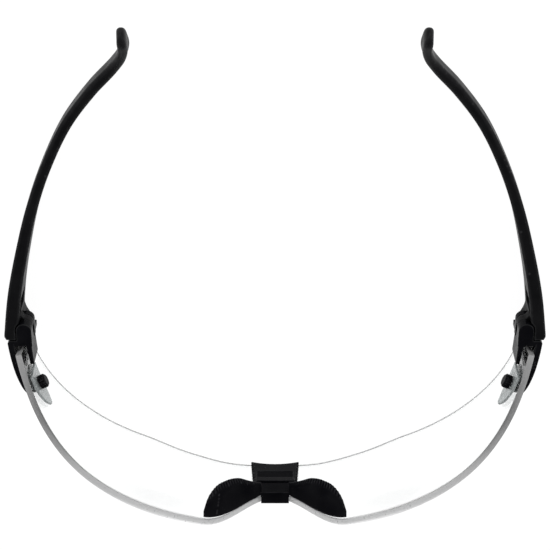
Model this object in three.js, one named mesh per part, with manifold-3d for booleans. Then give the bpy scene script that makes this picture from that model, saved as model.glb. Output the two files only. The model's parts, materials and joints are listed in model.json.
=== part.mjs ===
// Rimless magnifying spectacles with one wraparound lens, lying upside down on a table.
// Millimetres. +X is the wearer's right, +Y points back to the ear tips and +Z is up from the table,
// which is the wearer's down. The hinge pins stand on y = 0, and the table is z = 0.
import * as THREE from "three";
import { mergeVertices } from "three/addons/utils/BufferGeometryUtils.js";
import Module from "manifold-3d";

const wasm = await Module();
wasm.setup();

// Gap that every two neighbouring pieces keep.
const GAP = 0.3;

// Far enough for a cutting tool to run clean through any piece.
const FAR = 100;

// Slot for a screwdriver blade.
const SLOT = { width: 0.4, depth: 0.3 };

// The lens: a superellipse in plan, curved top to bottom and leaning in towards the cheeks.
const LENS_HALF_WIDTH = 72.9;
const LENS_HALF_DEPTH = 58.9;
const LENS_SQUARENESS = 2.31;
const LENS_CENTRE_Y = 10.2;
const LENS_MIDDLE_Z = 22;
const LENS_LEAN = 0.155;
const LENS_SAG_RADIUS = 269;
const LENS_END_Y = -5.2;
const LENS_THICKNESS = 1.7;
const LENS_BULGE = { thickness: 0.6, x: 32, z: 24, reachX: 15, reachZ: 14 };
const LENS_COLUMNS = 150;
const LENS_ROWS = 8;
const ROD_SIDES = 32;
const NOSE_NOTCH = { depth: 19.6, halfWidth: 20 };

// Heights of the lens's brow edge and of its cheek edge, as [distance from the middle, z].
const BROW_EDGE = [[0, 7.7], [12, 7.2], [25, 3.8], [40, 0.15], [55, 0.4], [65, 1.5], [73, 3.4]];
const CHEEK_EDGE = [[0, 45], [26, 44.6], [36, 43.5], [46, 41], [54, 37.5], [60, 33], [65, 27.5], [72, 16.8]];

// The hinge: a tongue on the temple between two lugs on the end piece, on one upright screw.
const HINGE_X = 69.2;
const KNUCKLE_RADIUS = 2.1;
const KNUCKLE_SIDES = 40;
const TONGUE_Z = [8.3, 10.9];
const LUG_BOTTOM = 6;
const LUG_TOP = 14.2;
const BUTT_Y = -2.9;
const HINGE_BORE = 0.95;
const HINGE_SCREW = { radius: 0.65, headRadius: 1.2, headBottom: 6.2, headTop: 6.9, top: 12.9 };
const HINGE_INSERT = { radius: 1.25, z: [11.5, 13.1] };

// Plan outlines at the front of the temple: a gusset that stiffens the butt, the root of the tongue, a
// relief that thins the wall behind the hinge and a chamfer on the outer corner.
const GUSSET = [[72, BUTT_Y], [72, 5], [70.8, 3.8], [69.9, 0.8], [68.3, -2.5], [68.7, BUTT_Y]];
const GUSSET_Z = [1, 12.4];
const TONGUE_ROOT = [[72, -1.6], [72, 5], [70.8, 4], [HINGE_X, KNUCKLE_RADIUS], [HINGE_X, 0]];
const RELIEF = [[69, 3.4], [71.1, 3.4], [70.7, 8.6], [69, 8.6]];
const RELIEF_Z = [3, 12];
const CHAMFER = [[74, -3.2], [75.5, -3.2], [75.5, -1.2], [74.9, -1.7]];

// The temple, as [y, value] along its length.
const TEMPLE_FRONT = -5;
const TEMPLE_BACK = 88.5;
const TEMPLE_STEP = 2;
const TIP_ROUNDING = 2.5;
const TEMPLE_X = [
  [-5, 73.2], [10, 71.3], [22, 68.8], [34, 65.6], [46, 61.1], [58, 55.1], [68, 47.9], [76, 41.4], [80, 39.1],
  [84, 38.3], [88.5, 38.5],
];
const TEMPLE_BOTTOM_Z = [[-5, 0.3], [10, 0], [58, 0], [68, 1.6], [76, 5.4], [82, 10.35], [88.5, 17.3]];
const TEMPLE_HEIGHT = [
  [-5, 14.2], [10, 12.6], [22, 10], [34, 8.2], [46, 7.2], [58, 7.2], [68, 6.8], [80, 6.2], [88.5, 5.4],
];
const TEMPLE_WIDTH = [[-5, 3.9], [10, 3.7], [34, 3.1], [46, 2.9], [60, 2.9], [72, 3], [80, 2.7], [88.5, 2.5]];
const TEMPLE_CORNER = [[-5, 0.5], [20, 0.7], [60, 1], [88.5, 1.1]];
const TEMPLE_TILT = [[-5, 0], [58, 0], [70, 0.4], [82, 0.8], [88.5, 0.9]];

// The end piece that grips the lens: a back wall, an outer claw and a short inner leg.
const WALL = { inner: 67.3, outer: 73.8, front: -4.9, corner: 0.5, bottom: 1.8, top: LUG_TOP };
const CLAW_Y = [-3.6, -18.4];
const CLAW_LOW = [[-18.4, 15.4], [-17.6, 14], [-16, 11.8], [-12, 7], [-8, 3.8], [-3.6, 1.8]];
const CLAW_HIGH = [[-18.4, 16.6], [-17.6, 17.8], [-16, 18.5], [-12, 17.5], [-8, 15.8], [-3.6, 14.2]];
const CLAW_THICKNESS = [[-18.4, 0.6], [-17.6, 0.9], [-16.3, 1.2], [-9, 1.75], [-3.6, 1.8]];
const LEG_OUTLINE = [[67.3, -4.5], [68.9, -4.5], [68, -10.6], [66.9, -10.6]];
const LEG_Z = [6, 14.2];

// The screw that clamps claw, lens and backing plate together, square to the lens.
const CLAMP_Y = -16.3;
const CLAMP_Z = 16.6;
const CLAMP_SHANK = 0.95;
const CLAMP_BORE = 1.25;
const CLAMP_HEAD = { radius: 1.3, thickness: 0.5 };
const BUSH_RADIUS = 1.65;
const BUSH_INSET = 0.1;
const LENS_BORE = 1.95;
const PLATE_THICKNESS = 0.7;
const PLATE_Y = [-12.6, -22.6];
const PLATE_LOW = [[-22.6, 16.8], [-20.5, 14.4], [-16.5, 12.2], [-12.6, 11]];
const PLATE_HIGH = [[-22.6, 18.2], [-20.5, 20], [-16.5, 20.8], [-12.6, 19.4]];
const NUT = { radius: 2, thickness: 2, cap: 0.5, chamfer: 0.5 };
const FLUTE = { count: 8, width: 0.5, reach: 0.3 };

// The nosepiece: a bracket on the bridge of the lens, a block in the notch and two soft wings.
const BRACKET = { top: 8.6, bottom: 21.2, dip: 1.2, halfTop: 6.3, halfBottom: 5.6, thickness: 1.2 };
const BRACKET_TEETH = { count: 7, depth: 0.8 };
const BRACKET_WINDOW = { halfWidth: 5.2, z: [14.4, 18.6], depth: [0.1, 0.9] };
const BRACKET_LIP = { halfWidth: 5.6, z: [19, 21.2], proud: 0.5 };
const BLOCK = { halfWidth: 4.1, z: [22.2, 28.3], thickness: 1.4 };
const BLOCK_NECK = { halfWidth: 3.9, z: [27.6, 28.3] };
const WING_START = 4.6;
const WING_END = 19.6;
const WING_REACH = [
  [0, 4], [0.15, 4.9], [0.25, 5.9], [0.4, 7.8], [0.6, 8.8], [0.7, 8.7], [0.84, 7.2], [0.93, 4.9], [1, 1.6],
];
const WING_CLIMB = 0.39;
const WING_THICKNESS = 1.7;
const WING_STAND_OFF = 0.75;
const WING_ROUNDING = 6;
const WING_THINNEST = 0.25;

// ---------------------------------------------------------------- shapes

// A smooth curve through a few [place, value] points that never swings past them.
function through(points) {
  const last = points.length - 1;
  const rise = (i) => (points[i + 1][1] - points[i][1]) / (points[i + 1][0] - points[i][0]);
  const slope = (i) => {
    const before = rise(Math.max(i - 1, 0));
    const after = rise(Math.min(i, last - 1));
    if (before * after <= 0) return 0;
    const limit = 3 * Math.min(Math.abs(before), Math.abs(after));
    return Math.sign(before) * Math.min(Math.abs(before + after) / 2, limit);
  };
  return (place) => {
    const x = THREE.MathUtils.clamp(place, points[0][0], points[last][0]);
    let i = 0;
    while (i < last - 1 && x > points[i + 1][0]) i += 1;
    const span = points[i + 1][0] - points[i][0];
    const t = (x - points[i][0]) / span;
    const start = points[i][1] * (1 + 2 * t) * (1 - t) ** 2 + slope(i) * span * t * (1 - t) ** 2;
    const end = points[i + 1][1] * t * t * (3 - 2 * t) + slope(i + 1) * span * t * t * (t - 1);
    return start + end;
  };
}

// A body whose skin runs through rings with the same even number of points. A ring's first half is
// one side of the body and its second half the other side, run back.
function loft(rings) {
  const n = rings[0].length;
  const faces = [];
  const quad = (a, b, c, d) => faces.push(a, b, c, a, c, d);
  for (let r = 0; r + 1 < rings.length; r += 1) {
    for (let k = 0; k < n; k += 1) {
      const a = r * n + k;
      const b = r * n + ((k + 1) % n);
      quad(a, b, b + n, a + n);
    }
  }
  const end = (rings.length - 1) * n;
  for (let k = 0; k + 1 < n / 2; k += 1) {
    quad(k + 1, k, n - 1 - k, n - 2 - k);
    quad(end + k, end + k + 1, end + n - 2 - k, end + n - 1 - k);
  }
  const geometry = new THREE.BufferGeometry().setFromPoints(rings.flat());
  geometry.setIndex(faces);
  return geometry;
}

// The ring of a thick sheet: up one face and back down the other.
function sheetRing(rows, face, backFace) {
  const front = Array.from({ length: rows + 1 }, (_, j) => face(j / rows));
  const back = Array.from({ length: rows + 1 }, (_, j) => backFace(1 - j / rows));
  return [...front, ...back];
}

// An upright prism on a plan outline.
function prism(outline, bottom, top) {
  const shape = new THREE.Shape(outline.map(([x, y]) => new THREE.Vector2(x, y)));
  const geometry = new THREE.ExtrudeGeometry(shape, { depth: top - bottom, bevelEnabled: false });
  return geometry.translate(0, 0, bottom);
}

function box(x, y, z) {
  const geometry = new THREE.BoxGeometry(x[1] - x[0], y[1] - y[0], z[1] - z[0]);
  return geometry.translate((x[0] + x[1]) / 2, (y[0] + y[1]) / 2, (z[0] + z[1]) / 2);
}

// An upright round rod, which may taper to another radius at its top.
function rod(radius, x, y, z, sides = ROD_SIDES, topRadius = radius) {
  const geometry = new THREE.CylinderGeometry(topRadius, radius, z[1] - z[0], sides);
  return geometry.rotateX(Math.PI / 2).translate(x, y, (z[0] + z[1]) / 2);
}

function toManifold(geometry) {
  const bare = new THREE.BufferGeometry();
  bare.setAttribute("position", geometry.getAttribute("position"));
  if (geometry.index) bare.setIndex(geometry.index);
  const merged = mergeVertices(bare, 1e-4);
  const vertProperties = new Float32Array(merged.attributes.position.array);
  const make = (triVerts) => new wasm.Manifold(new wasm.Mesh({ numProp: 3, vertProperties, triVerts }));
  const triVerts = new Uint32Array(merged.index.array);
  const body = make(triVerts);
  return body.volume() > 0 ? body : make(triVerts.reverse());
}

function toGeometry(body) {
  const { vertProperties, triVerts } = body.getMesh();
  const geometry = new THREE.BufferGeometry();
  geometry.setAttribute("position", new THREE.BufferAttribute(vertProperties, 3));
  geometry.setIndex(new THREE.BufferAttribute(triVerts, 1));
  return geometry;
}

// One body: all of the solids joined, less all of the cuts.
function carve(solids, cuts = []) {
  const joined = solids.map(toManifold).reduce((a, b) => a.add(b));
  return toGeometry(cuts.map(toManifold).reduce((a, b) => a.subtract(b), joined));
}

// A crisp-edged mesh of one material.
function piece(name, geometry, material) {
  const flat = geometry.index ? geometry.toNonIndexed() : geometry;
  flat.computeVertexNormals();
  const mesh = new THREE.Mesh(flat, material);
  mesh.name = name;
  return mesh;
}

// ---------------------------------------------------------------- materials

const clearPlastic = new THREE.MeshStandardMaterial({
  color: 0xe8eeee, roughness: 0.05, metalness: 0, transparent: true, opacity: 0.35,
});
const smokyPlastic = new THREE.MeshStandardMaterial({
  color: 0xb4b9b9, roughness: 0.2, metalness: 0, transparent: true, opacity: 0.6,
});
const satinBlack = new THREE.MeshStandardMaterial({ color: 0x1a1a1c, roughness: 0.45, metalness: 0 });
const glossBlack = new THREE.MeshStandardMaterial({ color: 0x151518, roughness: 0.2, metalness: 0 });
const softBlack = new THREE.MeshStandardMaterial({ color: 0x1d1e20, roughness: 0.8, metalness: 0 });
const steel = new THREE.MeshStandardMaterial({ color: 0x9a9a9c, roughness: 0.35, metalness: 1 });
const brass = new THREE.MeshStandardMaterial({ color: 0xb08d4a, roughness: 0.4, metalness: 1 });

// ---------------------------------------------------------------- the lens surface

// The plan curve of the lens's outer face at a height.
function lensPlan(z) {
  const sag = (z - LENS_MIDDLE_Z) ** 2 / (2 * LENS_SAG_RADIUS);
  return {
    halfWidth: LENS_HALF_WIDTH - sag,
    halfDepth: LENS_HALF_DEPTH - sag,
    centreY: LENS_CENTRE_Y + LENS_LEAN * (z - LENS_MIDDLE_Z),
  };
}

// The other coordinate of the plan curve, as a share of its half size, from the share of the first.
const otherShare = (share) => (1 - Math.min(Math.abs(share), 1) ** LENS_SQUARENESS) ** (1 / LENS_SQUARENESS);

// The point of the outer face at a distance from the middle and a height.
function lensAtX(x, z) {
  const plan = lensPlan(z);
  return new THREE.Vector3(x, plan.centreY - plan.halfDepth * otherShare(x / plan.halfWidth), z);
}

// The point of the outer face on the wearer's right at a y and a height.
function lensAtY(y, z) {
  const plan = lensPlan(z);
  return new THREE.Vector3(plan.halfWidth * otherShare((y - plan.centreY) / plan.halfDepth), y, z);
}

// How far outside the outer face a point lies, as a share of the lens's size.
function lensField(x, y, z) {
  const plan = lensPlan(z);
  const across = Math.abs(x / plan.halfWidth) ** LENS_SQUARENESS;
  return across + Math.abs((y - plan.centreY) / plan.halfDepth) ** LENS_SQUARENESS;
}

function lensNormal(p) {
  const d = 0.01;
  return new THREE.Vector3(
    lensField(p.x + d, p.y, p.z) - lensField(p.x - d, p.y, p.z),
    lensField(p.x, p.y + d, p.z) - lensField(p.x, p.y - d, p.z),
    lensField(p.x, p.y, p.z + d) - lensField(p.x, p.y, p.z - d),
  ).normalize();
}

// A point moved square to the lens, towards the wearer's face.
const inward = (p, distance) => p.clone().addScaledVector(lensNormal(p), -distance);

const browEdge = through(BROW_EDGE);
const cheekEdgeWithoutNotch = through(CHEEK_EDGE);

// The nose notch is a bell cut into the cheek edge.
function cheekEdge(x) {
  const share = Math.min(Math.abs(x) / NOSE_NOTCH.halfWidth, 1);
  return cheekEdgeWithoutNotch(Math.abs(x)) - NOSE_NOTCH.depth * Math.cos((share * Math.PI) / 2) ** 2;
}

// The lens is thickest in front of each eye, where it magnifies.
function lensThickness(p) {
  const { thickness, x, z, reachX, reachZ } = LENS_BULGE;
  const away = ((Math.abs(p.x) - x) / reachX) ** 2 + ((p.z - z) / reachZ) ** 2;
  return LENS_THICKNESS + thickness * Math.exp(-away);
}

// A thick sheet that follows the lens beside a hinge, between two depths below its outer face. The
// deeper one varies along y.
function alongLens(yRange, low, high, shallow, deep, columns = 16, rows = 4) {
  const rings = [];
  for (let i = 0; i <= columns; i += 1) {
    const y = THREE.MathUtils.lerp(yRange[0], yRange[1], i / columns);
    const at = (v, depth) => inward(lensAtY(y, THREE.MathUtils.lerp(low(y), high(y), v)), depth);
    rings.push(sheetRing(rows, (v) => at(v, shallow), (v) => at(v, deep(y))));
  }
  return loft(rings);
}

// ---------------------------------------------------------------- the clamp screw's line

const clampPoint = lensAtY(CLAMP_Y, CLAMP_Z);
const clampAxis = lensNormal(clampPoint).negate();
const clampTurn = new THREE.Quaternion().setFromUnitVectors(new THREE.Vector3(0, 0, 1), clampAxis);

// Moves a geometry drawn along +Z so that it runs inwards from the lens's outer face.
const onClamp = (geometry) => geometry.applyQuaternion(clampTurn).translate(...clampPoint);
const CLAMP_REACH = [-4, 8];
const clampBore = (radius) => onClamp(rod(radius, 0, 0, CLAMP_REACH));

// Depths below the lens's outer face, along the clamp screw.
const clawThickness = through(CLAW_THICKNESS);
const clawFace = -GAP - clawThickness(CLAMP_Y);
const plateTop = LENS_THICKNESS + GAP + PLATE_THICKNESS;
const nutTop = plateTop + GAP + NUT.thickness;

// ---------------------------------------------------------------- pieces

function lensGeometry() {
  const rings = [];
  const endShare = (LENS_CENTRE_Y - LENS_END_Y) / LENS_HALF_DEPTH;
  const endAngle = Math.acos(endShare ** (LENS_SQUARENESS / 2));
  for (let i = 0; i <= LENS_COLUMNS; i += 1) {
    const angle = THREE.MathUtils.lerp(-endAngle, endAngle, i / LENS_COLUMNS);
    const share = Math.sign(angle) * Math.abs(Math.sin(angle)) ** (2 / LENS_SQUARENESS);
    const middleX = LENS_HALF_WIDTH * share;
    const outer = (v) => {
      const z = THREE.MathUtils.lerp(browEdge(Math.abs(middleX)), cheekEdge(middleX), v);
      return lensAtX(lensPlan(z).halfWidth * share, z);
    };
    const inner = (v) => inward(outer(v), lensThickness(outer(v)));
    rings.push(sheetRing(LENS_ROWS, outer, inner));
  }
  const rightBore = clampBore(LENS_BORE);
  const leftBore = rightBore.clone().scale(-1, 1, 1);
  return carve([loft(rings)], [rightBore, leftBore]);
}

const templeX = through(TEMPLE_X);
const templeBottomZ = through(TEMPLE_BOTTOM_Z);
const templeHeight = through(TEMPLE_HEIGHT);
const templeWidth = through(TEMPLE_WIDTH);
const templeCorner = through(TEMPLE_CORNER);
const templeTilt = through(TEMPLE_TILT);

// One rounded-rectangle section of the temple. It shrinks over the last stretch to round the tip.
function templeSection(y) {
  const smallest = 0.2;
  const past = Math.max(0, (y - TEMPLE_BACK + TIP_ROUNDING) / TIP_ROUNDING);
  const shrink = Math.sqrt(Math.max(1 - past * past, smallest * smallest));
  const heading = new THREE.Vector3(templeX(y + 0.5) - templeX(y - 0.5), 1, 0).normalize();
  const across = new THREE.Vector3(heading.y, -heading.x, 0);
  const tilt = templeTilt(y);
  const up = new THREE.Vector3(0, 0, Math.cos(tilt)).addScaledVector(heading, -Math.sin(tilt));
  const corner = templeCorner(y) * shrink;
  const halfWidth = (templeWidth(y) / 2) * shrink - corner;
  const halfHeight = (templeHeight(y) / 2) * shrink - corner;
  const centre = new THREE.Vector3(templeX(y), y, templeBottomZ(y) + templeHeight(y) / 2);
  const ring = [];
  [[1, 1], [-1, 1], [-1, -1], [1, -1]].forEach(([sideways, upwards], quarter) => {
    for (let k = 0; k < 4; k += 1) {
      const angle = (quarter + k / 3) * (Math.PI / 2);
      const point = centre.clone();
      point.addScaledVector(across, sideways * halfWidth + corner * Math.cos(angle));
      point.addScaledVector(up, upwards * halfHeight + corner * Math.sin(angle));
      ring.push(point);
    }
  });
  return ring;
}

function templeArm() {
  const rings = [];
  const tipStart = TEMPLE_BACK - TIP_ROUNDING;
  for (let y = TEMPLE_FRONT; y < tipStart; y += TEMPLE_STEP) rings.push(templeSection(y));
  const tipRings = 5;
  for (let i = 1; i <= tipRings; i += 1) {
    rings.push(templeSection(tipStart + TIP_ROUNDING * Math.sin((i / tipRings) * (Math.PI / 2))));
  }
  return loft(rings);
}

function templeGeometry() {
  const clearance = KNUCKLE_RADIUS + GAP;
  const [tongueBottom, tongueTop] = TONGUE_Z;
  const front = box([0, FAR], [-FAR, BUTT_Y], [-FAR, FAR]);
  const arm = carve([templeArm()], [front, prism(CHAMFER, -FAR, FAR)]);
  const knuckle = rod(KNUCKLE_RADIUS, HINGE_X, 0, TONGUE_Z, KNUCKLE_SIDES);
  const lugSpace = (z) => [
    rod(clearance, HINGE_X, 0, z, KNUCKLE_SIDES),
    box([0, HINGE_X + clearance], [-FAR, 0], z),
  ];
  return carve(
    [arm, prism(GUSSET, ...GUSSET_Z), knuckle, prism(TONGUE_ROOT, tongueBottom, tongueTop)],
    [
      ...lugSpace([LUG_BOTTOM - GAP, tongueBottom]),
      ...lugSpace([tongueTop, FAR]),
      rod(HINGE_BORE, HINGE_X, 0, [LUG_BOTTOM, FAR]),
      prism(RELIEF, ...RELIEF_Z),
    ],
  );
}

function lug(bottom, top) {
  const inner = HINGE_X - KNUCKLE_RADIUS;
  const outer = HINGE_X + KNUCKLE_RADIUS;
  const barrel = rod(KNUCKLE_RADIUS, HINGE_X, 0, [bottom, top], KNUCKLE_SIDES);
  return carve([barrel, box([inner, outer], [WALL.front, 0], [bottom, top])]);
}

function endPieceGeometry() {
  const back = BUTT_Y - GAP;
  const { inner, outer, front, corner } = WALL;
  const slope = [[outer - corner, back], [outer, back - corner]];
  const wall = [[inner, back], ...slope, [outer, front], [inner, front]];
  const outerDepth = (y) => -GAP - clawThickness(y);
  const claw = alongLens(CLAW_Y, through(CLAW_LOW), through(CLAW_HIGH), -GAP, outerDepth);
  const pinHead = HINGE_SCREW.headRadius + GAP;
  const sinkFloor = clawFace + CLAMP_HEAD.thickness + GAP;
  const clampSink = rod(CLAMP_HEAD.radius + GAP, 0, 0, [clawFace - 1, sinkFloor]);
  return carve(
    [
      prism(wall, WALL.bottom, WALL.top),
      lug(LUG_BOTTOM, TONGUE_Z[0] - GAP),
      lug(TONGUE_Z[1] + GAP, LUG_TOP),
      prism(LEG_OUTLINE, ...LEG_Z),
      claw,
    ],
    [
      rod(KNUCKLE_RADIUS + GAP, HINGE_X, 0, [TONGUE_Z[0] - GAP, TONGUE_Z[1] + GAP], KNUCKLE_SIDES),
      rod(HINGE_BORE, HINGE_X, 0, [0, HINGE_SCREW.top + GAP]),
      rod(pinHead, HINGE_X, 0, [0, HINGE_SCREW.headTop + GAP]),
      rod(HINGE_INSERT.radius + GAP, HINGE_X, 0, [TONGUE_Z[1], HINGE_INSERT.z[1] + GAP]),
      clampBore(CLAMP_BORE),
      onClamp(clampSink),
    ],
  );
}

function hingeScrewGeometry() {
  const { radius, headRadius, headBottom, headTop, top } = HINGE_SCREW;
  const slot = box([0, FAR], [-SLOT.width / 2, SLOT.width / 2], [0, headBottom + SLOT.depth]);
  return carve(
    [rod(headRadius, HINGE_X, 0, [headBottom, headTop]), rod(radius, HINGE_X, 0, [headBottom, top])],
    [slot],
  );
}

function clampScrewGeometry() {
  const head = rod(CLAMP_HEAD.radius, 0, 0, [clawFace, clawFace + CLAMP_HEAD.thickness]);
  const shank = rod(CLAMP_SHANK, 0, 0, [clawFace, nutTop - NUT.cap - GAP]);
  const slot = box([-FAR, FAR], [-SLOT.width / 2, SLOT.width / 2], [-FAR, clawFace + SLOT.depth]);
  return onClamp(carve([head, shank], [slot]));
}

function hingeInsertGeometry() {
  const { radius, z } = HINGE_INSERT;
  return carve([rod(radius, HINGE_X, 0, z)], [rod(HINGE_BORE, HINGE_X, 0, [0, FAR])]);
}

function bushGeometry() {
  const tube = rod(BUSH_RADIUS, 0, 0, [BUSH_INSET, LENS_THICKNESS - BUSH_INSET]);
  return onClamp(carve([tube], [rod(CLAMP_BORE, 0, 0, CLAMP_REACH)]));
}

function plateGeometry() {
  const [low, high] = [through(PLATE_LOW), through(PLATE_HIGH)];
  const plate = alongLens(PLATE_Y, low, high, LENS_THICKNESS + GAP, () => plateTop);
  return carve([plate], [clampBore(CLAMP_BORE)]);
}

// A round cap nut with a chamfered crown and flutes down its side.
function nutGeometry() {
  const { radius, cap, chamfer } = NUT;
  const shoulder = nutTop - chamfer;
  const body = rod(radius, 0, 0, [plateTop + GAP, shoulder]);
  const crown = rod(radius, 0, 0, [shoulder, nutTop], ROD_SIDES, radius - chamfer);
  const bore = rod(CLAMP_BORE, 0, 0, [plateTop, nutTop - cap]);
  const flutes = [];
  for (let i = 0; i < FLUTE.count; i += 1) {
    const across = [-FLUTE.width / 2, FLUTE.width / 2];
    const flute = box([radius - FLUTE.reach, FAR], across, [-FAR, FAR]);
    flutes.push(flute.rotateZ((i * 2 * Math.PI) / FLUTE.count));
  }
  return onClamp(carve([body, crown], [bore, ...flutes]));
}

// A solid on the bridge of the lens, between two depths below its outer face. The shallow one may change
// with height, and the lower edge may dip in the middle.
function onBridge(halfWidth, z, shallow, deep, rows = 2, columns = 6, dip = 0) {
  const rings = [];
  for (let i = 0; i <= columns; i += 1) {
    const height = THREE.MathUtils.lerp(z[0], z[1], i / columns);
    const at = (v, depth) => {
      const across = THREE.MathUtils.lerp(-1, 1, v);
      const dipped = dip * (1 - across ** 2) * (1 - i / columns);
      return inward(lensAtX(across * halfWidth(height), height + dipped), depth);
    };
    rings.push(sheetRing(rows, (v) => at(v, shallow(height)), (v) => at(v, deep)));
  }
  return loft(rings);
}

// A plate that narrows towards the notch, with saw-toothed sides, a slot and a lip.
function bracketGeometry() {
  const { top, bottom, dip, halfTop, halfBottom, thickness } = BRACKET;
  const { count, depth: toothDepth } = BRACKET_TEETH;
  const inner = LENS_THICKNESS + GAP;
  const outer = inner + thickness;
  const halfWidth = (z) => {
    const share = (z - top) / (bottom - top);
    const phase = (share * count) % 1;
    return THREE.MathUtils.lerp(halfTop, halfBottom, share) + toothDepth * Math.abs(2 * phase - 1);
  };
  const { halfWidth: windowHalfWidth, z: windowZ, depth } = BRACKET_WINDOW;
  const floor = (z) => outer - THREE.MathUtils.mapLinear(z, ...windowZ, ...depth);
  const window = onBridge(() => windowHalfWidth, windowZ, floor, outer + thickness);
  const lip = onBridge(() => BRACKET_LIP.halfWidth, BRACKET_LIP.z, () => inner, outer + BRACKET_LIP.proud);
  const plate = onBridge(halfWidth, [top, bottom], () => inner, outer, 8, count * 2, dip);
  return carve([plate, lip], [window]);
}

// A block behind the notch, with a neck over the notch's root that ends level with the lens's outer face.
function blockGeometry() {
  const inner = LENS_THICKNESS + GAP;
  const deep = inner + BLOCK.thickness;
  return carve([
    onBridge(() => BLOCK.halfWidth, BLOCK.z, () => inner, deep),
    onBridge(() => BLOCK_NECK.halfWidth, BLOCK_NECK.z, () => 0, deep),
  ]);
}

// A leaf-shaped wing that follows the side of the notch and reaches back to the nose.
function wingGeometry() {
  const reach = through(WING_REACH);
  const root = (s) => {
    const x = THREE.MathUtils.lerp(WING_START, WING_END, s);
    const edge = inward(lensAtX(x, cheekEdge(x)), LENS_THICKNESS);
    return edge.add(new THREE.Vector3(0, WING_STAND_OFF, 0));
  };
  const heading = (s) => {
    const climb = WING_CLIMB * THREE.MathUtils.smoothstep(s, 0, 0.3);
    return new THREE.Vector3(0, Math.cos(climb), -Math.sin(climb));
  };
  const middle = (s, v) => root(s).addScaledVector(heading(s), reach(s) * v);
  const rounding = (share) => {
    const fromMiddle = Math.abs(2 * share - 1);
    return Math.max(Math.sqrt(1 - fromMiddle ** WING_ROUNDING), WING_THINNEST);
  };
  const face = (s, v, side) => {
    const d = 0.01;
    const alongEdge = middle(s + d, v).sub(middle(s - d, v));
    const normal = alongEdge.cross(heading(s)).normalize();
    const half = (WING_THICKNESS / 2) * rounding(s) * rounding((1 + v) / 2);
    return middle(s, v).addScaledVector(normal, side * half);
  };
  const rings = [];
  const columns = 22;
  for (let i = 0; i <= columns; i += 1) {
    const s = i / columns;
    rings.push(sheetRing(8, (v) => face(s, v, 1), (v) => face(s, v, -1)));
  }
  return carve([loft(rings)]);
}

// ---------------------------------------------------------------- assembly

// Everything that comes in pairs, drawn on the wearer's right and mirrored for the left.
function side(name) {
  const group = new THREE.Group();
  group.add(piece(`${name}_temple`, templeGeometry(), satinBlack));
  group.add(piece(`${name}_end_piece`, endPieceGeometry(), glossBlack));
  group.add(piece(`${name}_hinge_screw`, hingeScrewGeometry(), steel));
  group.add(piece(`${name}_hinge_insert`, hingeInsertGeometry(), brass));
  group.add(piece(`${name}_lens_screw`, clampScrewGeometry(), steel));
  group.add(piece(`${name}_lens_bush`, bushGeometry(), softBlack));
  group.add(piece(`${name}_backing_plate`, plateGeometry(), smokyPlastic));
  group.add(piece(`${name}_lens_nut`, nutGeometry(), glossBlack));
  group.add(piece(`${name}_nose_wing`, wingGeometry(), softBlack));
  group.scale.x = name === "left" ? -1 : 1;
  return group;
}

const loupes = new THREE.Group();
loupes.add(piece("lens", lensGeometry(), clearPlastic));
loupes.add(piece("nose_bracket", bracketGeometry(), glossBlack));
loupes.add(piece("nose_block", blockGeometry(), softBlack));
loupes.add(side("right"), side("left"));

// The part's origin is the middle of its footprint on the table.
const extent = new THREE.Box3().setFromObject(loupes);
loupes.position.y = -(extent.min.y + extent.max.y) / 2;

export default loupes;
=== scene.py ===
"""Rimless magnifying spectacles, lying upside down on a light table: the looks, built around the CAD part.

Shapes are drawn in millimetres on the wearer's right, with the hinge pins on y = 0 and the table at
z = 0, then moved into the frame, in metres, and mirrored for the left.
"""

import json
import math

import bmesh
import bpy
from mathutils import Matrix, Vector

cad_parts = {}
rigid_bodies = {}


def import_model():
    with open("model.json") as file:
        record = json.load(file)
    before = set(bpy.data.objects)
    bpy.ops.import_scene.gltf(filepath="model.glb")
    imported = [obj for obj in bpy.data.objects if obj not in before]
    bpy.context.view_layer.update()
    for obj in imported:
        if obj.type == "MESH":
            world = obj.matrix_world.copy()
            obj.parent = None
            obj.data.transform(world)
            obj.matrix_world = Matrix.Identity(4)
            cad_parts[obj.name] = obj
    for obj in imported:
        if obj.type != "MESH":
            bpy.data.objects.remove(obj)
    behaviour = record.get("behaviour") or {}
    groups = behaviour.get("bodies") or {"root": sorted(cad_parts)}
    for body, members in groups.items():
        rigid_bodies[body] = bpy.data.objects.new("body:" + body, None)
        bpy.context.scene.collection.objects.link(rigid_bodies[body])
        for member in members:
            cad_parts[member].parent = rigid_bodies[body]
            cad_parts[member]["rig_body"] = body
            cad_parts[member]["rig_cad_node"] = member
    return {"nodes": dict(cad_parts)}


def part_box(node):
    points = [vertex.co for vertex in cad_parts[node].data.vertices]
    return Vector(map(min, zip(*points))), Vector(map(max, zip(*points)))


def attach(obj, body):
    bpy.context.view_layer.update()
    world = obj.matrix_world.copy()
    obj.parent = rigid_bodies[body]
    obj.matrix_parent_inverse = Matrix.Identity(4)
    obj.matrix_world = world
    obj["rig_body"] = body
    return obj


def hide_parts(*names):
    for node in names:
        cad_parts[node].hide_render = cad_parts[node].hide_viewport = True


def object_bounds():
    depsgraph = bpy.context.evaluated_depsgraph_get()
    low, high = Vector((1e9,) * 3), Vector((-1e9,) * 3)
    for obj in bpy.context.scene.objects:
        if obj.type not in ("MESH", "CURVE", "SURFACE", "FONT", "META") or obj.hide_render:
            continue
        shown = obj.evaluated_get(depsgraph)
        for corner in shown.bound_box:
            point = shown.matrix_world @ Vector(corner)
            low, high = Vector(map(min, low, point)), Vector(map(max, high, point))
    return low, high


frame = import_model()
cad_low, cad_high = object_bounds()

MM = 0.001
screw_low, screw_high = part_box("left_hinge_screw")
HINGE_Y = (screw_low.y + screw_high.y) / 2

# ---------------------------------------------------------------- sizes, in millimetres

GAP = 0.3
FAR = 100

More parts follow.
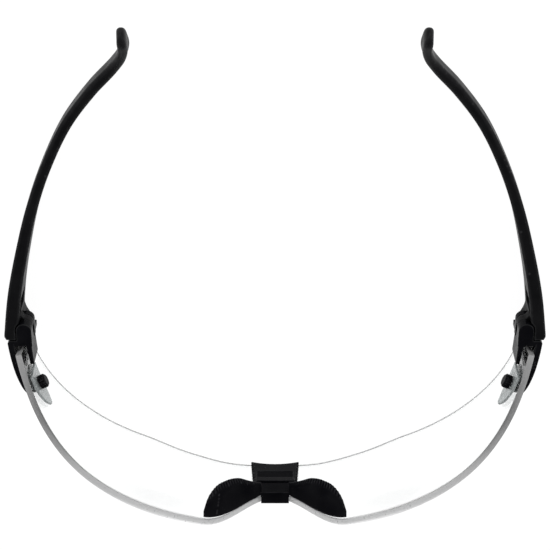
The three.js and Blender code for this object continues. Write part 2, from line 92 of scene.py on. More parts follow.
LENS_HALF_WIDTH = 72.9
LENS_HALF_DEPTH = 58.9
LENS_SQUARENESS = 2.31
LENS_CENTRE_Y = 10.2
LENS_MIDDLE_Z = 22
LENS_LEAN = 0.155
LENS_SAG_RADIUS = 269
LENS_END_Y = -5.2
LENS_THICKNESS = 1.7
BULGE_THICKNESS = 0.6
BULGE_X = 32
BULGE_Z = 24
BULGE_REACH_X = 15
BULGE_REACH_Z = 14
LENS_COLUMNS = 360
LENS_ROWS = 26
RIM_RADIUS = 0.28
RIM_STEPS = 4
NOTCH_DEPTH = 19.6
NOTCH_HALF_WIDTH = 20
BROW_EDGE = [(0, 7.7), (12, 7.2), (25, 3.8), (40, 0.15), (55, 0.4), (65, 1.5), (73, 3.4)]
CHEEK_EDGE = [(0, 45), (26, 44.6), (36, 43.5), (46, 41), (54, 37.5), (60, 33), (65, 27.5), (72, 16.8)]

HINGE_X = 69.2
KNUCKLE_RADIUS = 2.1
TONGUE_Z = (8.3, 10.9)
LUG_BOTTOM = 6
LUG_TOP = 14.2
BUTT_Y = -2.9
HINGE_BORE = 0.95
HEAD_TOP = 6.9
HEAD_RADIUS = 1.2
SCREW_TOP = 12.9
INSERT_RADIUS = 1.25
INSERT_TOP = 13.1
GUSSET = [(72, BUTT_Y), (72, 5), (70.8, 3.8), (69.9, 0.8), (68.3, -2.5), (68.7, BUTT_Y)]
GUSSET_Z = (1, 12.4)
TONGUE_ROOT = [(72, -1.6), (72, 5), (70.8, 4), (HINGE_X, KNUCKLE_RADIUS), (HINGE_X, 0)]
RELIEF = [(69, 3.4), (71.1, 3.4), (70.7, 8.6), (69, 8.6)]
RELIEF_Z = (3, 12)
CHAMFER = [(74, -3.2), (75.5, -3.2), (75.5, -1.2), (74.9, -1.7)]

TEMPLE_FRONT = -5
TEMPLE_BACK = 88.5
TEMPLE_STEP = 0.7
TIP_ROUNDING = 2.5
TIP_RINGS = 12
TEMPLE_X = [
    (-5, 73.2), (10, 71.3), (22, 68.8), (34, 65.6), (46, 61.1), (58, 55.1), (68, 47.9), (76, 41.4),
    (80, 39.1), (84, 38.3), (88.5, 38.5),
]
TEMPLE_BOTTOM_Z = [(-5, 0.3), (10, 0), (58, 0), (68, 1.6), (76, 5.4), (82, 10.35), (88.5, 17.3)]
TEMPLE_HEIGHT = [
    (-5, 14.2), (10, 12.6), (22, 10), (34, 8.2), (46, 7.2), (58, 7.2), (68, 6.8), (80, 6.2), (88.5, 5.4),
]
TEMPLE_WIDTH = [(-5, 3.9), (10, 3.7), (34, 3.1), (46, 2.9), (60, 2.9), (72, 3), (80, 2.7), (88.5, 2.5)]
TEMPLE_CORNER = [(-5, 0.5), (20, 0.7), (60, 1), (88.5, 1.1)]
TEMPLE_TILT = [(-5, 0), (58, 0), (70, 0.4), (82, 0.8), (88.5, 0.9)]
CORNER_STEPS = 8

WALL_INNER = 67.3
WALL_OUTER = 73.8
WALL_FRONT = -4.9
WALL_CORNER = 0.5
WALL_BOTTOM = 1.8
CLAW_Y = (-3.6, -18.4)
CLAW_LOW = [(-18.4, 15.4), (-17.6, 14), (-16, 11.8), (-12, 7), (-8, 3.8), (-3.6, 1.8)]
CLAW_HIGH = [(-18.4, 16.6), (-17.6, 17.8), (-16, 18.5), (-12, 17.5), (-8, 15.8), (-3.6, 14.2)]
CLAW_THICKNESS = [(-18.4, 0.6), (-17.6, 0.9), (-16.3, 1.2), (-9, 1.75), (-3.6, 1.8)]
LEG_OUTLINE = [(67.3, -4.5), (68.9, -4.5), (68, -10.6), (66.9, -10.6)]
LEG_Z = (6, 14.2)

CLAMP_Y = -16.3
CLAMP_Z = 16.6
CLAMP_BORE = 1.25
CLAMP_HEAD_RADIUS = 1.3
CLAMP_HEAD_THICKNESS = 0.5
CLAMP_REACH = (-4, 8)
LENS_BORE = 1.95
PLATE_THICKNESS = 0.7
PLATE_Y = (-12.6, -22.6)
PLATE_LOW = [(-22.6, 16.8), (-20.5, 14.4), (-16.5, 12.2), (-12.6, 11)]
PLATE_HIGH = [(-22.6, 18.2), (-20.5, 20), (-16.5, 20.8), (-12.6, 19.4)]

BRACKET_Z = (8.6, 21.2)
BRACKET_HALF_WIDTHS = (6.3, 5.6)
BRACKET_DIP = 1.2
BRACKET_THICKNESS = 1.2
BRACKET_TEETH = 7
COLUMNS_PER_TOOTH = 12
TOOTH_DEPTH = 0.8
WINDOW_HALF_WIDTH = 5.2
WINDOW_Z = (14.4, 18.6)
WINDOW_DEPTH = (0.1, 0.9)
LIP_HALF_WIDTH = 5.6
LIP_Z = (19, 21.2)
LIP_PROUD = 0.5
BLOCK_HALF_WIDTH = 4.1
BLOCK_Z = (22.2, 28.3)
BLOCK_THICKNESS = 1.4
NECK_HALF_WIDTH = 3.9
NECK_Z = (27.6, 28.3)

WING_START = 4.6
WING_END = 19.6
WING_REACH = [
    (0, 4), (0.15, 4.9), (0.25, 5.9), (0.4, 7.8), (0.6, 8.8), (0.7, 8.7), (0.84, 7.2), (0.93, 4.9), (1, 1.6),
]
WING_CLIMB = 0.39
WING_THICKNESS = 1.7
WING_STAND_OFF = 0.75
WING_COLUMNS = 150
WING_ROWS = 40
WING_ROOT_OVERLAP = 0.7
WING_EDGE_POWER = 6
WING_EDGE_THINNEST = 0.06

# The wing's climb and its grip ribs come and go over these shares of its root, s, and of its reach, v.
WING_CLIMB_S = (0, 0.3)
WING_RIBS = 24
WING_RIB_HEIGHT = 0.24
WING_RIBS_START_S = (0.12, 0.2)
WING_RIBS_END_S = (0.92, 0.98)
WING_RIBS_V = (0.8, 0.93)

# Brightness and clearness of the ground rim, from the front of the lens, 0, back to the hinges, 1: painted
# shade that makes the rim greyer and less clear towards the hinges.
RIM_PAINTED_SHADES = [
    (0.05, 0.4), (0.09, 0.6), (0.17, 0.9), (0.23, 0.7), (0.31, 0.55), (0.4, 0.42), (0.49, 0.22), (0.6, 0.13),
    (0.66, 0.14), (0.76, 0.22), (0.9, 0.3),
]
RIM_CLEARNESS = [(0.05, 0.1), (0.17, 0.5), (0.3, 0.2), (0.45, 0.05)]
BROW_RIM_TOP = 12

# How deep the bumps of grain, haze and tool marks are, and how far the floor lies below the table.
SKIN_DEPTH = 0.02
FLOOR_DROP = 0.05

# ---------------------------------------------------------------- curves and meshes


def mix(a, b, share):
    return a + (b - a) * share


def smoothstep(x, low, high):
    t = min(max((x - low) / (high - low), 0), 1)
    return t * t * (3 - 2 * t)


def through(points):
    """A smooth curve through a few (place, value) points that never swings past them."""
    last = len(points) - 1

    def rise(i):
        return (points[i + 1][1] - points[i][1]) / (points[i + 1][0] - points[i][0])

    def slope(i):
        before = rise(max(i - 1, 0))
        after = rise(min(i, last - 1))
        if before * after <= 0:
            return 0
        limit = 3 * min(abs(before), abs(after))
        return math.copysign(min(abs(before + after) / 2, limit), before)

    def at(place):
        x = min(max(place, points[0][0]), points[last][0])
        i = 0
        while i < last - 1 and x > points[i + 1][0]:
            i += 1
        span = points[i + 1][0] - points[i][0]
        t = (x - points[i][0]) / span
        start = points[i][1] * (1 + 2 * t) * (1 - t) ** 2 + slope(i) * span * t * (1 - t) ** 2
        end = points[i + 1][1] * t * t * (3 - 2 * t) + slope(i + 1) * span * t * t * (t - 1)
        return start + end

    return at


def solid(points, faces):
    """A mesh object, in millimetres, with its faces turned outwards."""
    mesh = bpy.data.meshes.new("solid")
    mesh.from_pydata([tuple(p) for p in points], [], faces)
    shape = bmesh.new()
    shape.from_mesh(mesh)
    bmesh.ops.recalc_face_normals(shape, faces=shape.faces)
    shape.to_mesh(mesh)
    shape.free()
    obj = bpy.data.objects.new("solid", mesh)
    bpy.context.scene.collection.objects.link(obj)
    return obj


def loft(rings):
    """A body through rings. A ring's first half is one side and its second half the other, run back."""
    n = len(rings[0])
    faces = []
    for r in range(len(rings) - 1):
        for k in range(n):
            a, b = r * n + k, r * n + (k + 1) % n
            faces.append((a, b, b + n, a + n))
    end = (len(rings) - 1) * n
    for k in range(n // 2 - 1):
        faces.append((k + 1, k, n - 1 - k, n - 2 - k))
        faces.append((end + k, end + k + 1, end + n - 2 - k, end + n - 1 - k))
    return solid([p for ring in rings for p in ring], faces)


def sheet_ring(rows, face, back_face):
    """The ring of a thick sheet: up one face and back down the other."""
    front = [face(j / rows) for j in range(rows + 1)]
    return front + [back_face(1 - j / rows) for j in range(rows + 1)]


def prism(outline, bottom, top):
    n = len(outline)
    points = [(x, y, z) for z in (bottom, top) for x, y in outline]
    sides = [(i, (i + 1) % n, n + (i + 1) % n, n + i) for i in range(n)]
    return solid(points, sides + [tuple(range(n)), tuple(range(n, 2 * n))])


def box(x, y, z):
    return prism([(x[0], y[0]), (x[1], y[0]), (x[1], y[1]), (x[0], y[1])], *z)


def rod(radius, x, y, z, sides=72):
    turn = 2 * math.pi / sides
    circle = [(x + radius * math.cos(i * turn), y + radius * math.sin(i * turn)) for i in range(sides)]
    return prism(circle, *z)


def apply_modifiers(obj):
    graph = bpy.context.evaluated_depsgraph_get()
    made = bpy.data.meshes.new_from_object(obj.evaluated_get(graph))
    obj.modifiers.clear()
    obj.data = made
    return obj


def carve(solids, cuts=()):
    """One body: all of the solids joined, less all of the cuts."""
    body = solids[0]
    tools = [(s, "UNION") for s in solids[1:]] + [(c, "DIFFERENCE") for c in cuts]
    for tool, operation in tools:
        step = body.modifiers.new("carve", "BOOLEAN")
        step.solver = "MANIFOLD"
        step.operation = operation
        step.object = tool
    apply_modifiers(body)
    for tool, _ in tools:
        bpy.data.objects.remove(tool)
    return body


def mould(obj, voxel, passes):
    """An even skin with the small round edges of a moulding."""
    skin = obj.modifiers.new("skin", "REMESH")
    skin.mode = "VOXEL"
    skin.voxel_size = voxel
    skin.use_smooth_shade = True
    soften = obj.modifiers.new("soften", "SMOOTH")
    soften.factor = 0.5
    soften.iterations = passes
    return apply_modifiers(obj)


def into_frame(obj, name, side=1):
    """Moves a drawn shape into the part's frame, in metres. side -1 mirrors it to the wearer's left."""
    obj.name = name
    obj.data.name = name
    shape = bmesh.new()
    shape.from_mesh(obj.data)
    for v in shape.verts:
        x, y, z = v.co
        v.co = (side * x * MM, y * MM + HINGE_Y, z * MM)
    if side < 0:
        bmesh.ops.reverse_faces(shape, faces=shape.faces)
    shape.to_mesh(obj.data)
    shape.free()
    obj.data.shade_smooth()
    return obj


def install(obj, node, body, slot, materials, side=1):
    """Puts a finished shape in place of its CAD node."""
    into_frame(obj, f"{node}_shape", side)
    for i, material in enumerate(materials):
        if i < len(obj.data.materials):
            obj.data.materials[i] = material
        else:
            obj.data.materials.append(material)
    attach(obj, body)
    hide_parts(node)
    return obj


def install_pair(obj, name, body, slot, materials):
    """The same shape on both sides. body may hold {side}, for a body that each side has of its own."""
    other = obj.copy()
    other.data = obj.data.copy()
    bpy.context.scene.collection.objects.link(other)
    for shape, word, side in ((obj, "right", 1), (other, "left", -1)):
        install(shape, f"{word}_{name}", body.format(side=word), slot, materials, side)


# ---------------------------------------------------------------- the lens surface


def lens_plan(z):
    """Half width, half depth and centre of the outer face's plan curve at a height."""
    sag = (z - LENS_MIDDLE_Z) ** 2 / (2 * LENS_SAG_RADIUS)
    return LENS_HALF_WIDTH - sag, LENS_HALF_DEPTH - sag, LENS_CENTRE_Y + LENS_LEAN * (z - LENS_MIDDLE_Z)


def other_share(share):
    return (1 - min(abs(share), 1) ** LENS_SQUARENESS) ** (1 / LENS_SQUARENESS)


def lens_at_x(x, z):
    half_width, half_depth, centre_y = lens_plan(z)
    return Vector((x, centre_y - half_depth * other_share(x / half_width), z))


def lens_at_y(y, z):
    half_width, half_depth, centre_y = lens_plan(z)
    return Vector((half_width * other_share((y - centre_y) / half_depth), y, z))


def lens_field(x, y, z):
    half_width, half_depth, centre_y = lens_plan(z)
    across = abs(x / half_width) ** LENS_SQUARENESS
    return across + abs((y - centre_y) / half_depth) ** LENS_SQUARENESS


def lens_normal(p):
    x, y, z = p
    d = 0.01
    return Vector((
        lens_field(x + d, y, z) - lens_field(x - d, y, z),
        lens_field(x, y + d, z) - lens_field(x, y - d, z),
        lens_field(x, y, z + d) - lens_field(x, y, z - d),
    )).normalized()


def inward(p, distance):
    """A point moved square to the lens, towards the wearer's face."""
    return p - lens_normal(p) * distance


brow_edge = through(BROW_EDGE)
cheek_edge_without_notch = through(CHEEK_EDGE)


def cheek_edge(x):
    """The nose notch is a bell cut into the cheek edge."""
    share = min(abs(x) / NOTCH_HALF_WIDTH, 1)
    return cheek_edge_without_notch(abs(x)) - NOTCH_DEPTH * math.cos(share * math.pi / 2) ** 2


def lens_thickness(p):
    away = ((abs(p.x) - BULGE_X) / BULGE_REACH_X) ** 2 + ((p.z - BULGE_Z) / BULGE_REACH_Z) ** 2
    return LENS_THICKNESS + BULGE_THICKNESS * math.exp(-away)


def along_lens(y_range, low, high, shallow, deep, columns=64, rows=20):
    """A thick sheet that follows the lens beside a hinge, between two depths below its outer face."""
    rings = []
    for i in range(columns + 1):
        y = mix(*y_range, i / columns)

        def at(v, depth):
            return inward(lens_at_y(y, mix(low(y), high(y), v)), depth)

        rings.append(sheet_ring(rows, lambda v: at(v, shallow), lambda v: at(v, deep(y))))
    return loft(rings)


def on_bridge(half_width, z, shallow, deep, rows=24, columns=24, dip=0):
    """A solid on the bridge of the lens, between two depths below its outer face.

    The shallow depth may change with height, and the lower edge may dip in the middle.
    """
    rings = []
    for i in range(columns + 1):
        height = mix(*z, i / columns)

        def at(v, depth):
            across = mix(-1, 1, v)
            dipped = dip * (1 - across ** 2) * (1 - i / columns)
            return inward(lens_at_x(across * half_width(height), height + dipped), depth)

        rings.append(sheet_ring(rows, lambda v: at(v, shallow(height)), lambda v: at(v, deep)))
    return loft(rings)


# The line of the screw that clamps claw, lens and backing plate together, square to the lens.
clamp_point = lens_at_y(CLAMP_Y, CLAMP_Z)
clamp_turn = Vector((0, 0, 1)).rotation_difference(-lens_normal(clamp_point))
claw_thickness = through(CLAW_THICKNESS)
claw_face = -GAP - claw_thickness(CLAMP_Y)
plate_top = LENS_THICKNESS + GAP + PLATE_THICKNESS


def on_clamp(obj):
    """Moves a shape drawn along +Z so that it runs inwards from the lens's outer face."""
    obj.data.transform(clamp_turn.to_matrix().to_4x4())
    for v in obj.data.vertices:
        v.co += clamp_point
    return obj


def clamp_bore(radius):
    return on_clamp(rod(radius, 0, 0, CLAMP_REACH))


# ---------------------------------------------------------------- the pieces


def lens_shape():
    """The lens, with ground rims. Material 0 is its polished faces and material 1 its rims."""
    end_share = (LENS_CENTRE_Y - LENS_END_Y) / LENS_HALF_DEPTH
    end_angle = math.acos(end_share ** (LENS_SQUARENESS / 2))
    quarter = [math.pi / 2 * k / RIM_STEPS for k in range(RIM_STEPS)]
    rings = []
    for i in range(LENS_COLUMNS + 1):
        angle = mix(-end_angle, end_angle, i / LENS_COLUMNS)
        share = math.copysign(abs(math.sin(angle)) ** (2 / LENS_SQUARENESS), angle)
        middle_x = LENS_HALF_WIDTH * share
        brow, cheek = brow_edge(abs(middle_x)), cheek_edge(middle_x)

        def outer(z):
            return lens_at_x(lens_plan(z)[0] * share, z)

        def at(z, depth, from_inside):
            p = outer(z)
            return inward(p, lens_thickness(p) - depth if from_inside else depth)

        rim = [(brow + RIM_RADIUS * (1 - math.cos(a)), RIM_RADIUS * (1 - math.sin(a))) for a in quarter]
        low, high = brow + RIM_RADIUS, cheek - RIM_RADIUS
        face = [(mix(low, high, j / LENS_ROWS), 0) for j in range(LENS_ROWS + 1)]
        far_rim = [(brow + cheek - z, depth) for z, depth in reversed(rim)]
        one_side = rim + face + far_rim
        rings.append(
            [at(z, depth, False) for z, depth in one_side]
            + [at(z, depth, True) for z, depth in reversed(one_side)]
        )
    obj = loft(rings)
    n = len(rings[0])
    first_face, last_face = RIM_STEPS, RIM_STEPS + LENS_ROWS
    for polygon in obj.data.polygons:
        corner = min(v % n for v in polygon.vertices)
        side = corner if corner < n // 2 else n - 2 - corner
        wraps = max(v % n for v in polygon.vertices) - corner > 1
        polygon.material_index = 1 if wraps or side < first_face or side >= last_face else 0
    left_bore = clamp_bore(LENS_BORE)
    for v in left_bore.data.vertices:
        v.co.x = -v.co.x
    left_bore.data.flip_normals()
    return carve([obj], [clamp_bore(LENS_BORE), left_bore])


temple_x = through(TEMPLE_X)
temple_bottom_z = through(TEMPLE_BOTTOM_Z)
temple_height = through(TEMPLE_HEIGHT)
temple_width = through(TEMPLE_WIDTH)
temple_corner = through(TEMPLE_CORNER)
temple_tilt = through(TEMPLE_TILT)


def temple_section(y):
    """One rounded-rectangle section of the temple. It shrinks over the last stretch to round the tip."""
    smallest = 0.2
    past = max(0, (y - TEMPLE_BACK + TIP_ROUNDING) / TIP_ROUNDING)
    shrink = math.sqrt(max(1 - past * past, smallest * smallest))
    step = 0.5
    heading = Vector((temple_x(y + step) - temple_x(y - step), 2 * step, 0)).normalized()
    across = Vector((heading.y, -heading.x, 0))
    tilt = temple_tilt(y)
    up = Vector((0, 0, math.cos(tilt))) - heading * math.sin(tilt)
    corner = temple_corner(y) * shrink
    half_width = temple_width(y) / 2 * shrink - corner
    half_height = temple_height(y) / 2 * shrink - corner
    centre = Vector((temple_x(y), y, temple_bottom_z(y) + temple_height(y) / 2))
    ring = []
    for quarter, (sideways, upwards) in enumerate(((1, 1), (-1, 1), (-1, -1), (1, -1))):
        for k in range(CORNER_STEPS):
            angle = (quarter + k / (CORNER_STEPS - 1)) * math.pi / 2
            out = across * (sideways * half_width + corner * math.cos(angle))
            ring.append(centre + out + up * (upwards * half_height + corner * math.sin(angle)))
    return ring


def temple_arm():
    tip_start = TEMPLE_BACK - TIP_ROUNDING
    steps = round((tip_start - TEMPLE_FRONT) / TEMPLE_STEP)
    rings = [temple_section(mix(TEMPLE_FRONT, tip_start, i / steps)) for i in range(steps + 1)]
    for i in range(1, TIP_RINGS + 1):
        rings.append(temple_section(tip_start + TIP_ROUNDING * math.sin(i / TIP_RINGS * math.pi / 2)))
    return loft(rings)


def temple_shape():
    clearance = KNUCKLE_RADIUS + GAP
    tongue_bottom, tongue_top = TONGUE_Z
    arm = carve([temple_arm()], [box((0, FAR), (-FAR, BUTT_Y), (-FAR, FAR)), prism(CHAMFER, -FAR, FAR)])
    lug_spaces = []
    for z in ((LUG_BOTTOM - GAP, tongue_bottom), (tongue_top, FAR)):
        lug_spaces.append(rod(clearance, HINGE_X, 0, z))
        lug_spaces.append(box((0, HINGE_X + clearance), (-FAR, 0), z))
    return carve(
        [
            arm,
            prism(GUSSET, *GUSSET_Z),
            rod(KNUCKLE_RADIUS, HINGE_X, 0, TONGUE_Z),
            prism(TONGUE_ROOT, tongue_bottom, tongue_top),
        ],
        [*lug_spaces, rod(HINGE_BORE, HINGE_X, 0, (LUG_BOTTOM, FAR)), prism(RELIEF, *RELIEF_Z)],
    )


def lug(bottom, top):
    inner, outer = HINGE_X - KNUCKLE_RADIUS, HINGE_X + KNUCKLE_RADIUS
    barrel = rod(KNUCKLE_RADIUS, HINGE_X, 0, (bottom, top))
    return carve([barrel, box((inner, outer), (WALL_FRONT, 0), (bottom, top))])


def end_piece_shape():
    back = BUTT_Y - GAP
    slope = [(WALL_OUTER - WALL_CORNER, back), (WALL_OUTER, back - WALL_CORNER)]
    wall = [(WALL_INNER, back), *slope, (WALL_OUTER, WALL_FRONT), (WALL_INNER, WALL_FRONT)]
    sink_floor = claw_face + CLAMP_HEAD_THICKNESS + GAP
    clamp_sink = on_clamp(rod(CLAMP_HEAD_RADIUS + GAP, 0, 0, (claw_face - 1, sink_floor)))
    claw_low, claw_high = through(CLAW_LOW), through(CLAW_HIGH)
    return carve(
        [
            prism(wall, WALL_BOTTOM, LUG_TOP),
            lug(LUG_BOTTOM, TONGUE_Z[0] - GAP),
            lug(TONGUE_Z[1] + GAP, LUG_TOP),
            prism(LEG_OUTLINE, *LEG_Z),
            along_lens(CLAW_Y, claw_low, claw_high, -GAP, lambda y: -GAP - claw_thickness(y)),
        ],
        [
            rod(KNUCKLE_RADIUS + GAP, HINGE_X, 0, (TONGUE_Z[0] - GAP, TONGUE_Z[1] + GAP)),
            rod(HINGE_BORE, HINGE_X, 0, (0, SCREW_TOP + GAP)),
            rod(HEAD_RADIUS + GAP, HINGE_X, 0, (0, HEAD_TOP + GAP)),
            rod(INSERT_RADIUS + GAP, HINGE_X, 0, (TONGUE_Z[1], INSERT_TOP + GAP)),
            clamp_bore(CLAMP_BORE),
            clamp_sink,
        ],
    )


def plate_shape():
    low, high = through(PLATE_LOW), through(PLATE_HIGH)
    plate = along_lens(PLATE_Y, low, high, LENS_THICKNESS + GAP, lambda y: plate_top)
    return carve([plate], [clamp_bore(CLAMP_BORE)])


def bracket_shape():
    """A plate that narrows towards the notch, with toothed sides, a window with a ramped floor and a lip."""
    inner = LENS_THICKNESS + GAP
    outer = inner + BRACKET_THICKNESS

    def half_width(z):
        share = (z - BRACKET_Z[0]) / (BRACKET_Z[1] - BRACKET_Z[0])
        phase = (share * BRACKET_TEETH) % 1
        return mix(*BRACKET_HALF_WIDTHS, share) + TOOTH_DEPTH * abs(2 * phase - 1)

    def window_floor(z):
        share = (z - WINDOW_Z[0]) / (WINDOW_Z[1] - WINDOW_Z[0])
        return outer - mix(*WINDOW_DEPTH, share)

    lip = on_bridge(lambda z: LIP_HALF_WIDTH, LIP_Z, lambda z: inner, outer + LIP_PROUD)
    window = on_bridge(lambda z: WINDOW_HALF_WIDTH, WINDOW_Z, window_floor, outer + BRACKET_THICKNESS)
    columns = COLUMNS_PER_TOOTH * BRACKET_TEETH
    plate = on_bridge(half_width, BRACKET_Z, lambda z: inner, outer, columns=columns, dip=BRACKET_DIP)
    return carve([plate, lip], [window])


def block_shape():
    """A block behind the notch, with a neck that ends level with the lens's outer face."""
    inner = LENS_THICKNESS + GAP
    deep = inner + BLOCK_THICKNESS
    return carve([
        on_bridge(lambda z: BLOCK_HALF_WIDTH, BLOCK_Z, lambda z: inner, deep),
        on_bridge(lambda z: NECK_HALF_WIDTH, NECK_Z, lambda z: 0, deep),
    ])


def wing_shape():
    """A leaf-shaped wing with fine grip ribs round its outer edge. s runs along its root and v outwards."""
    reach = through(WING_REACH)

    def root(s):
        x = mix(WING_START - WING_ROOT_OVERLAP, WING_END, s)
        edge = inward(lens_at_x(x, cheek_edge(x)), LENS_THICKNESS)
        return edge + Vector((0, WING_STAND_OFF, 0))

    def heading(s):
        climb = WING_CLIMB * smoothstep(s, *WING_CLIMB_S)
        return Vector((0, math.cos(climb), -math.sin(climb)))

    def middle(s, v):
        return root(s) + heading(s) * (reach(s) * v)

    def rounding(share):
        return math.sqrt(max(1 - abs(2 * share - 1) ** WING_EDGE_POWER, WING_EDGE_THINNEST))

    def rib(s, v):
        along_root = smoothstep(s, *WING_RIBS_START_S) * (1 - smoothstep(s, *WING_RIBS_END_S))
        wave = (1 + math.cos(2 * math.pi * WING_RIBS * s)) / 2
        return WING_RIB_HEIGHT * smoothstep(v, *WING_RIBS_V) * along_root * wave

    def face(s, v, side):
        d = 0.01
        along_edge = middle(s + d, v) - middle(s - d, v)
        normal = along_edge.cross(heading(s)).normalized()
        half = WING_THICKNESS / 2 * rounding(s) * rounding((1 + v) / 2) - rib(s, v)
        return middle(s, v) + normal * (side * half)

    rings = []
    for i in range(WING_COLUMNS + 1):
        s = i / WING_COLUMNS
        rings.append(sheet_ring(WING_ROWS, lambda v: face(s, v, 1), lambda v: face(s, v, -1)))
    return loft(rings)


def from_node(node):
    """A copy of a CAD node's mesh, back in millimetres, so that it can be moulded."""
    obj = frame["nodes"][node].copy()
    obj.data = frame["nodes"][node].data.copy()
    obj.parent = None
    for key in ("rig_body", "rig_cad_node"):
        if key in obj:
            del obj[key]
    bpy.context.scene.collection.objects.link(obj)
    for v in obj.data.vertices:
        v.co = (v.co.x / MM, (v.co.y - HINGE_Y) / MM, v.co.z / MM)
    weld = obj.modifiers.new("weld", "WELD")
    weld.merge_threshold = 0.001
    return apply_modifiers(obj)


# ---------------------------------------------------------------- materials


def fill_ramp(node, stops):
    """Gives a colour ramp its (place, colour) stops."""
    elements = node.color_ramp.elements
    while len(elements) < len(stops):
        elements.new(0.5)
    for element, (place, colour) in zip(elements, stops):
        element.position = place
        element.color = (*colour, 1)


def grey(value):
    return (value, value, value)


class Shader:
    """A node material on one Principled shader, with a few helpers to wire it."""

    def __init__(self, name):
        self.material = bpy.data.materials.new(name)
        self.material.use_nodes = True
        self.nodes = self.material.node_tree.nodes
        self.links = self.material.node_tree.links
        self.surface = self.nodes["Principled BSDF"]
        self.place = self.nodes.new("ShaderNodeTexCoord").outputs["Object"]

    def set(self, **values):
        for socket, value in values.items():
            self.surface.inputs[socket.replace("_", " ")].default_value = value

    def noise(self, size_mm, detail=4):
        """Noise with features of about a size, from 0 to 1."""
        node = self.nodes.new("ShaderNodeTexNoise")
        node.inputs["Scale"].default_value = 1 / (size_mm * MM)
        node.inputs["Detail"].default_value = detail
        self.links.new(self.place, node.inputs["Vector"])
        return node.outputs["Fac"]

    def ramp(self, value, low, high, at=(0.3, 0.7)):
        """A colour or a number that runs from low to high as value runs over a range."""
        node = self.nodes.new("ShaderNodeValToRGB")
        colours = [end if isinstance(end, tuple) else grey(end) for end in (low, high)]
        fill_ramp(node, list(zip(at, colours)))
        self.links.new(value, node.inputs["Fac"])
        return node.outputs["Color"]

    def greys(self, value, stops):
        """A grey that runs through several (place, brightness) stops."""
        node = self.nodes.new("ShaderNodeValToRGB")
        fill_ramp(node, [(place, grey(brightness)) for place, brightness in stops])
        self.links.new(value, node.inputs["Fac"])
        return node.outputs["Color"]

    def mix(self, share, a, b):
        node = self.nodes.new("ShaderNodeMix")
        node.data_type = "RGBA"
        self.links.new(share, node.inputs["Factor"])
        self.links.new(a, node.inputs["A"])
        self.links.new(b, node.inputs["B"])
        return node.outputs["Result"]

    def edges(self, start=0.505, full=0.53):
        """1 on convex edges, 0 on flats and in corners."""
        geometry = self.nodes.new("ShaderNodeNewGeometry")
        return self.ramp(geometry.outputs["Pointiness"], 0.0, 1.0, (start, full))

    def bump(self, height, strength, depth_mm):
        node = self.nodes.new("ShaderNodeBump")
        node.inputs["Strength"].default_value = strength
        node.inputs["Distance"].default_value = depth_mm * MM
        self.links.new(height, node.inputs["Height"])
        self.links.new(node.outputs["Normal"], self.surface.inputs["Normal"])

    def along(self, axis, low, high):
        """From 0 to 1 along an axis of the part's frame, between two places in metres."""
        split = self.nodes.new("ShaderNodeSeparateXYZ")
        self.links.new(self.place, split.inputs[0])
        node = self.nodes.new("ShaderNodeMapRange")
        node.inputs["From Min"].default_value = low
        node.inputs["From Max"].default_value = high
        self.links.new(split.outputs[axis], node.inputs["Value"])
        return node.outputs["Result"]

    def wire(self, socket, value):
        self.links.new(value, self.surface.inputs[socket])


def moulded_black(name, specular, dark, light, edge, smooth, rough, grain_mm, grain_strength):
    """Black moulded plastic: faint mottling, fine grain, and paler, shinier rubbed edges; the paler edge
    colour is partly rubbed wear and partly a painted highlight.
    """
    mottle_mm, patch_mm, wear_and_highlight_mm, rub_mm = 6, 3, 1.5, 0.8
    shader = Shader(name)
    shader.set(Specular_IOR_Level=specular)
    body = shader.ramp(shader.noise(mottle_mm), dark, light)
    patchy_wear_and_highlight = shader.ramp(shader.noise(wear_and_highlight_mm), 0.35, 1.0)
    edges = shader.edges()
    wear_and_highlight = shader.nodes.new("ShaderNodeMath")
    wear_and_highlight.operation = "MULTIPLY"
    shader.links.new(edges, wear_and_highlight.inputs[0])
    shader.links.new(patchy_wear_and_highlight, wear_and_highlight.inputs[1])
    # Painted highlight: the pale colour on convex edges is partly rubbed wear and partly stands in for the
    # highlights the edges would catch.
    palest = tuple(1.3 * c for c in edge)
    pale = shader.ramp(shader.noise(rub_mm), edge, palest)
    shader.wire("Base Color", shader.mix(wear_and_highlight.outputs[0], body, pale))
    patches = shader.ramp(shader.noise(patch_mm), smooth, rough)
    polished = shader.ramp(shader.noise(rub_mm), 0.8 * smooth, smooth)
    shader.wire("Roughness", shader.mix(wear_and_highlight.outputs[0], patches, polished))
    shader.bump(shader.noise(grain_mm, 3), grain_strength, SKIN_DEPTH)
    return shader.material


def clear_face():
    """Polished clear plastic with the faintest haze and hairline wiping marks."""
    shader = Shader("clear_plastic")
    shader.set(Base_Color=(0.985, 0.993, 0.992, 1), IOR=1.5, Transmission_Weight=1.0)
    shader.wire("Roughness", shader.ramp(shader.noise(9), 0.0, 0.012))
    shader.bump(shader.noise(14, 1), 0.02, SKIN_DEPTH)
    return shader.material


